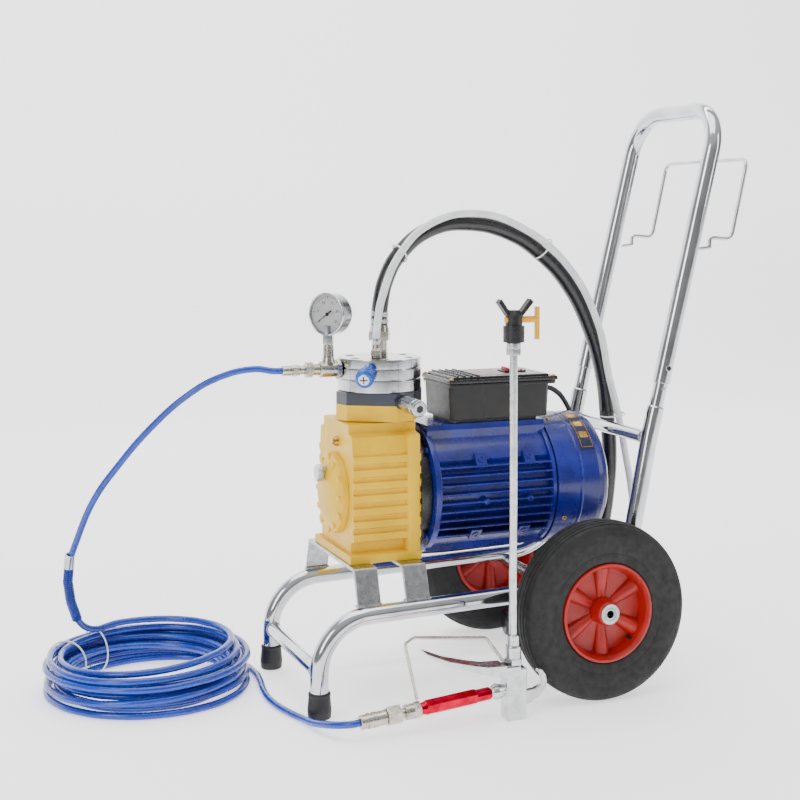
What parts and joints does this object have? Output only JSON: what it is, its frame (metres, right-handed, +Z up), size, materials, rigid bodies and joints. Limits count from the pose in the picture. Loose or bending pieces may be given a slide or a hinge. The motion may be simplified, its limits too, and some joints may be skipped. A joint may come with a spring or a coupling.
{
  "type": "airless paint sprayer",
  "caption": "Airless paint sprayer: an electric motor and diaphragm pump on a two-wheeled tube cart with a slide-on handle, hoses and a spray gun.",
  "frame": {"origin": "floor level, midway along and across the machine's footprint, hoses and cable left out", "axes": "+X towards the handle, -Y the side the gun stands on, +Z up"},
  "size_m": [1.025, 0.4813, 0.8563],
  "materials": {
    "chrome_plate": "polished",
    "machined_steel": "satin",
    "brass": "satin",
    "yellow_paint": "semi-gloss",
    "blue_paint": "semi-gloss",
    "navy_paint": "satin",
    "red_plastic": "semi-gloss",
    "red_anodised": "anodised satin",
    "black_rubber": "matte",
    "tyre_rubber": "matte",
    "black_plastic": "matte",
    "copper_winding": "varnished copper wire on laminated steel",
    "blue_hose": "semi-gloss",
    "white_tube": "semi-gloss",
    "tip_yellow": "semi-gloss"
  },
  "bodies": {
    "cart": {"axle": "machined_steel", "box_lid": "black_plastic", "cable_gland": "black_plastic", "control_box": "black_plastic", "fan_cover": "blue_paint", "front_cross_tube": "chrome_plate", "gauge_case": "machined_steel", "grip": "red_anodised", "gun_body": "chrome_plate", "head_collar": "navy_paint", "housing_cover": "yellow_paint", "lance": "chrome_plate", "mains_cable": "black_plastic", "mains_coil": "black_plastic", "mains_plug": "black_plastic", "motor_adapter": "black_plastic", "motor_body": "blue_paint", "oil_plug": "machined_steel", "outlet_tee": "machined_steel", "paint_hose_coil": "blue_hose", "paint_hose_drop": "blue_hose", "paint_hose_fitting": "machined_steel", "paint_hose_run": "blue_hose", "pump_head": "chrome_plate", "pump_housing": "yellow_paint", "pump_strap_front": "machined_steel", "pump_strap_rear": "machined_steel", "rear_cross_tube": "chrome_plate", "return_fitting": "brass", "return_tube": "white_tube", "rubber_foot_far": "black_rubber", "rubber_foot_near": "black_rubber", "shaft_bearing_front": "machined_steel", "shaft_bearing_rear": "machined_steel", "side_tube_far": "chrome_plate", "side_tube_near": "chrome_plate", "stator": "copper_winding", "suction_fitting": "machined_steel", "suction_hose": "black_rubber", "suction_strainer": "black_plastic", "trigger_guard": "machined_steel"},
    "wheel_near": {"tyre_near": "tyre_rubber", "rim_near": "red_plastic"},
    "wheel_far": {"tyre_far": "tyre_rubber", "rim_far": "red_plastic"},
    "handle_unit": {"handle": "chrome_plate", "hose_rack": "chrome_plate"},
    "button_near": {"snap_button_near": "machined_steel"},
    "button_far": {"snap_button_far": "machined_steel"},
    "rotor": {"rotor_shaft": "machined_steel", "cooling_fan": "black_plastic"},
    "piston_unit": {"piston": "machined_steel", "diaphragm": "black_rubber"},
    "pressure_control": {"pressure_knob": "machined_steel"},
    "prime_control": {"prime_knob": "blue_paint"},
    "needle": {"gauge_needle": "black_plastic"},
    "rocker": {"rocker_switch": "red_plastic"},
    "trigger_lever": {"trigger": "chrome_plate"},
    "guard": {"tip_guard": "black_plastic"},
    "tip": {"spray_tip": "tip_yellow"}
  },
  "joints": [
    {"name": "wheel_near_spin", "type": "hinge", "parent": "cart", "child": "wheel_near", "pos_m": [0.0577, -0.1806, 0.127], "axis": [0, 1, 0], "continuous": true},
    {"name": "wheel_far_spin", "type": "hinge", "parent": "cart", "child": "wheel_far", "pos_m": [0.0577, 0.1954, 0.127], "axis": [0, 1, 0], "continuous": true},
    {"name": "handle_slide", "type": "slide", "parent": "cart", "child": "handle_unit", "axis": [0.238, 0, 0.9713], "range_m": [-0.004, 0.055]},
    {"name": "button_near_press", "type": "slide", "parent": "cart", "child": "button_near", "axis": [0, 1, 0], "range_m": [0, 0.0034], "stiffness_N_per_m": 400, "springref_m": -0.001},
    {"name": "button_far_press", "type": "slide", "parent": "cart", "child": "button_far", "axis": [0, -1, 0], "range_m": [0, 0.0034], "stiffness_N_per_m": 400, "springref_m": -0.001},
    {"name": "rotor_spin", "type": "hinge", "parent": "cart", "child": "rotor", "pos_m": [-0.1513, 0.0074, 0.284], "axis": [1, 0, 0], "continuous": true},
    {"name": "piston_slide", "type": "slide", "parent": "cart", "child": "piston_unit", "axis": [0, 0, 1], "range_m": [0, 0.006]},
    {"name": "pressure_knob_turn", "type": "hinge", "parent": "cart", "child": "pressure_control", "pos_m": [-0.19389, -0.06081, 0.4185], "axis": [0.1501, -0.9836, -0.1001], "range_deg": [0, 540]},
    {"name": "prime_knob_turn", "type": "hinge", "parent": "cart", "child": "prime_control", "pos_m": [-0.23894, -0.04641, 0.4655], "axis": [-0.5147, -0.7995, -0.3098], "range_deg": [0, 90]},
    {"name": "needle_sweep", "type": "hinge", "parent": "cart", "child": "needle", "pos_m": [-0.28475, 0.00567, 0.5415], "axis": [0.8173, 0.5762, 0], "range_deg": [0, 250], "stiffness_Nm_per_rad": 0.0002, "springref_deg": -11.46},
    {"name": "rocker_tilt", "type": "hinge", "parent": "cart", "child": "rocker", "pos_m": [0.0087, 0.0074, 0.448], "axis": [0, -1, 0], "range_deg": [0, 12]},
    {"name": "trigger_pull", "type": "hinge", "parent": "cart", "child": "trigger_lever", "pos_m": [-0.0923, -0.2114, 0.066], "axis": [0, -1, 0], "range_deg": [0, 13], "stiffness_Nm_per_rad": 1.2, "springref_deg": -22.92},
    {"name": "tip_guard_turn", "type": "hinge", "parent": "cart", "child": "guard", "pos_m": [-0.0923, -0.2114, 0.53], "axis": [0, 0, 1], "range_deg": [-90, 90]},
    {"name": "spray_tip_flip", "type": "hinge", "parent": "guard", "child": "tip", "pos_m": [-0.0923, -0.2114, 0.543], "axis": [1, 0, 0], "range_deg": [0, 180]}
  ]
}
